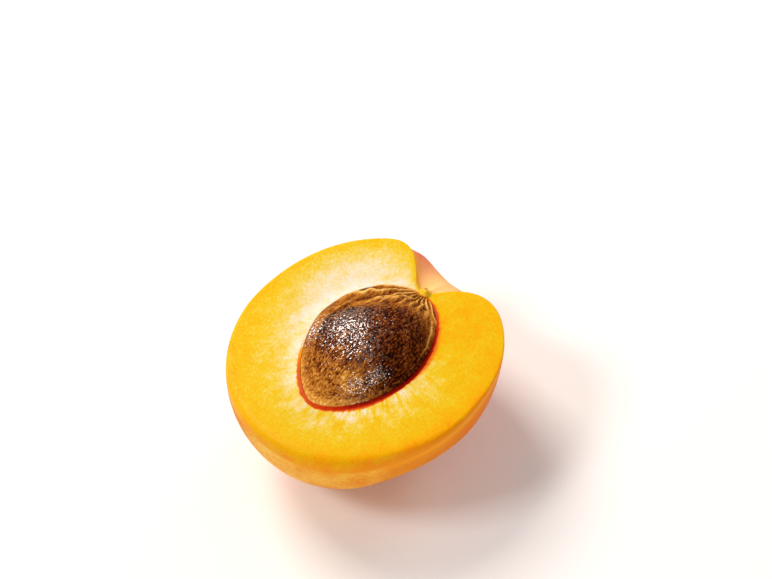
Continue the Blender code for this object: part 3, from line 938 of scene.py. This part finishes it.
shape = wrapped_grid(STONE_SEGMENTS, STONE_TOP_RINGS + STONE_BOTTOM_RINGS)
tone_layer = shape.verts.layers.float.new("tone")
speckle_layer = shape.verts.layers.float.new("speckle")
wet_layer = shape.verts.layers.float.new("wet")
for vertex in shape.verts:
    # The vertex on the bare stone, where share is 0 in the middle and 1 at the keel
    segment, ring = grid_place(vertex, STONE_SEGMENTS, STONE_TOP_RINGS + STONE_BOTTOM_RINGS)
    turn = segment / STONE_SEGMENTS * 2 * math.pi
    rings_down = ring - STONE_BOTTOM_RINGS
    on_top = rings_down >= 0
    share = 1 - rings_down / STONE_TOP_RINGS if on_top else ring / STONE_BOTTOM_RINGS
    share = blend(share, math.sin(share * math.pi / 2), RIM_CROWDING)
    reach = share * keel_reach(turn)
    point = Vector((reach * math.cos(turn), reach * math.sin(turn), stone_half_height(share, turn)))
    if not on_top:
        point.z = -point.z
    fade = 1 - share**FADE_POWER

    # The shoulder and its fan of fins
    wander = WANDER * noise.noise(point / PIT_SIZE)
    shoulder = hill(turn, SHOULDER_MIDDLE, SHOULDER_SPREAD)
    buried = BURIED_SHARE * hill(turn, BURIED_MIDDLE, BURIED_SPREAD)
    shoulder_share = blend(SHOULDER_SHARE, SHOULDER_SHARE_STEM, shoulder) + wander + buried
    on_shoulder = 1 / (1 + math.exp((shoulder_share - share) / SHOULDER_SOFTNESS))
    from_fan = point - FAN_POINT
    fan_angle = math.atan2(from_fan.y, -from_fan.x)
    fan_angle += FAN_WANDER * noise.noise(point / FAN_WANDER_SIZE)
    fin = (0.5 + 0.5 * math.cos(2 * math.pi * fan_angle / FAN_STEP)) ** 2
    finned = on_shoulder * min(1.0, FIN_GROWTH * shoulder)
    finned *= max(0.0, min(1.0, (share - shoulder_share) / FIN_RUN_IN))

    # The ridges along the keel, with what is beside them
    past_ridge = (share - RIDGE_SHARE - wander / 2) / RIDGE_HALF_WIDTH
    ridged = hill(turn, RIDGE_MIDDLE, RIDGE_SPREAD)
    ridge = ridged * math.exp(-(past_ridge**2))
    groove = ridged * math.exp(-((past_ridge + GROOVE_OFFSET) ** 2))
    outside = ridged / (1 + math.exp(OUTSIDE_STEEPNESS * (OUTSIDE_OFFSET - past_ridge)))
    past_side_ridge = (share - SIDE_RIDGE_SHARE - wander / 2) / RIDGE_HALF_WIDTH
    side_ridge = hill(turn, SIDE_RIDGE_MIDDLE, SIDE_RIDGE_SPREAD) * math.exp(-(past_side_ridge**2))

    # The patches of colour and the grain of the shell
    pale_edge = share**PALE_EDGE_POWER * hill(turn, PALE_EDGE_MIDDLE, PALE_EDGE_SPREAD)
    ochre = hill(turn, OCHRE_MIDDLE, OCHRE_SPREAD) * min(1.0, OCHRE_GROWTH * share) ** 2
    dark_side = hill(turn, DARK_MIDDLE, DARK_SPREAD) * min(1.0, DARK_GROWTH * share) * fade
    grain = granule(point) * blend(1.0, GRAIN_ON_SHOULDER, on_shoulder)
    pit = noise.noise(point / PIT_SIZE)
    stream = noise.noise(counted_in(point, STREAM_SIZE))

    # All the relief stands square to the bare surface
    streamed = blend(FAINT_STREAM, 1.0, max(ochre, on_shoulder)) * fade
    relief = GRANULE_HEIGHT * grain + PIT_DEPTH * pit * (1 - on_shoulder)
    relief += STREAM_HEIGHT * stream * streamed
    relief += RIDGE_HEIGHT * ridge - GROOVE_DEPTH * groove + SIDE_RIDGE_HEIGHT * side_ridge
    relief *= math.sqrt(max(0.0, 1 - share**KEEL_POWER))
    relief += FIN_HEIGHT * finned * fin * (1 - FIN_FADE * share**KEEL_POWER)
    lean = stone_lean(share, turn)
    square_up = math.cos(lean) if on_top else -math.cos(lean)
    point += relief * (level_way(turn) * math.sin(lean) + Vector((0, 0, square_up)))

    vertex[tone_layer] = (
        GROUND_TONE + GRAIN_TONE * grain + PIT_TONE * pit
        + SHOULDER_TONE * on_shoulder + finned * (FIN_TONE * fin + FIN_GAP_TONE)
        + RIDGE_TONE * ridge + GROOVE_TONE * groove + OUTSIDE_TONE * outside
        + SIDE_RIDGE_TONE * side_ridge + PALE_EDGE_TONE * pale_edge
        + OCHRE_TONE * ochre + DARK_TONE * dark_side
        + blend(STREAM_TONE, OCHRE_STREAM_TONE, ochre) * stream * blend(1 - STREAM_FADE, 1.0, fade)
    )
    vertex[speckle_layer] = blend(SPECKLE, SHOULDER_SPECKLE, on_shoulder)
    vertex[wet_layer] = max(
        math.exp(-(((point - middle).length / width) ** 2)) for middle, width in WET_PATCHES
    )
    vertex.co = AXIS_POINT + STONE_MIDDLE + STONE_ROLL @ point
close_ball(shape)

# Lignified shell, as hard as a nut's: dark brown, rough from the fibres that pulled off it, and
# beaded with juice that gives the grains small sharp highlights
STAIN_SIZE = 2.2 * MM
STAIN_AMOUNT = 0.25
FINE_GRAIN_SIZE = 0.25 * MM
FINE_GRAIN_STRETCH = (0.42, 1.0, 1.0)  # the grain is drawn out along the axis like the streams
SHELL_STOPS = (
    (0.02, "#220600"), (0.18, "#521C04"), (0.34, "#7C4012"), (0.50, "#A86622"), (0.66, "#CA8432"),
    (0.82, "#E2A448"), (1.0, "#F8CE7C"),
)
BEAD_SIZE = 0.38 * MM
BEADS_IN_WET = 0.39  # how much more easily beads form in a wet patch
BEAD_EDGE = (0.78, 0.81)  # heights between which a bead begins

shell = new_material("wet_apricot_stone")
tone = add_node(shell, "Attribute", attribute_name="tone").outputs["Fac"]
speckle = add_node(shell, "Attribute", attribute_name="speckle").outputs["Fac"]
wet = add_node(shell, "Attribute", attribute_name="wet").outputs["Fac"]
place = add_node(shell, "TexCoord").outputs["Object"]

stains = add_node(
    shell, "TexNoise", {"Vector": place, "Scale": 1 / STAIN_SIZE, "Detail": 4.0}
).outputs["Fac"]
stain_swing = add_node(shell, "Math", {0: stains, 1: -0.5}, operation="ADD").outputs[0]
stained_tone = add_node(
    shell, "Math", {0: stain_swing, 1: STAIN_AMOUNT, 2: tone}, operation="MULTIPLY_ADD"
).outputs[0]
grain_place = add_node(
    shell, "Mapping", {"Vector": place, "Scale": FINE_GRAIN_STRETCH}
).outputs["Vector"]
fine_grain = add_node(
    shell, "TexNoise", {"Vector": grain_place, "Scale": 1 / FINE_GRAIN_SIZE, "Detail": 2.0}
).outputs["Fac"]
grain_swing = add_node(shell, "Math", {0: fine_grain, 1: -0.5}, operation="ADD").outputs[0]
shell_tone = add_node(
    shell, "Math", {0: grain_swing, 1: speckle, 2: stained_tone}, operation="MULTIPLY_ADD"
).outputs[0]
shell_colour = add_node(shell, "ValToRGB", {"Fac": shell_tone}, stops=SHELL_STOPS).outputs["Color"]
shell_bump = add_node(
    shell, "Bump", {"Height": fine_grain, "Distance": 0.07 * MM, "Strength": 0.9}
).outputs["Normal"]

# The juice is a coat that is there in beads, each rounded by a bump of its own. Its index is far
# over that of juice, 1.35, so that the beads reflect enough of the soft boxes to shine white
beads = add_node(
    shell, "TexNoise", {"Vector": place, "Scale": 1 / BEAD_SIZE, "Detail": 1.0}
).outputs["Fac"]
wet_beads = add_node(
    shell, "Math", {0: wet, 1: BEADS_IN_WET, 2: beads}, operation="MULTIPLY_ADD"
).outputs[0]
juice = add_node(
    shell, "MapRange",
    {"Value": wet_beads, "From Min": BEAD_EDGE[0], "From Max": BEAD_EDGE[1]},
).outputs["Result"]
juice_bump = add_node(
    shell, "Bump", {"Height": beads, "Distance": 0.18 * MM, "Strength": 0.85}
).outputs["Normal"]
wet_shell = add_node(
    shell, "BsdfPrincipled",
    {
        "Base Color": shell_colour, "Roughness": 0.55, "IOR": 1.45, "Normal": shell_bump,
        "Specular IOR Level": 0.04, "Coat Weight": juice, "Coat Roughness": 0.07,
        "Coat IOR": 2.5, "Coat Normal": juice_bump,
    },
)
add_node(shell, "OutputMaterial", {"Surface": wet_shell.outputs[0]})
add_piece("woody_stone", shape, [shell], "stone")
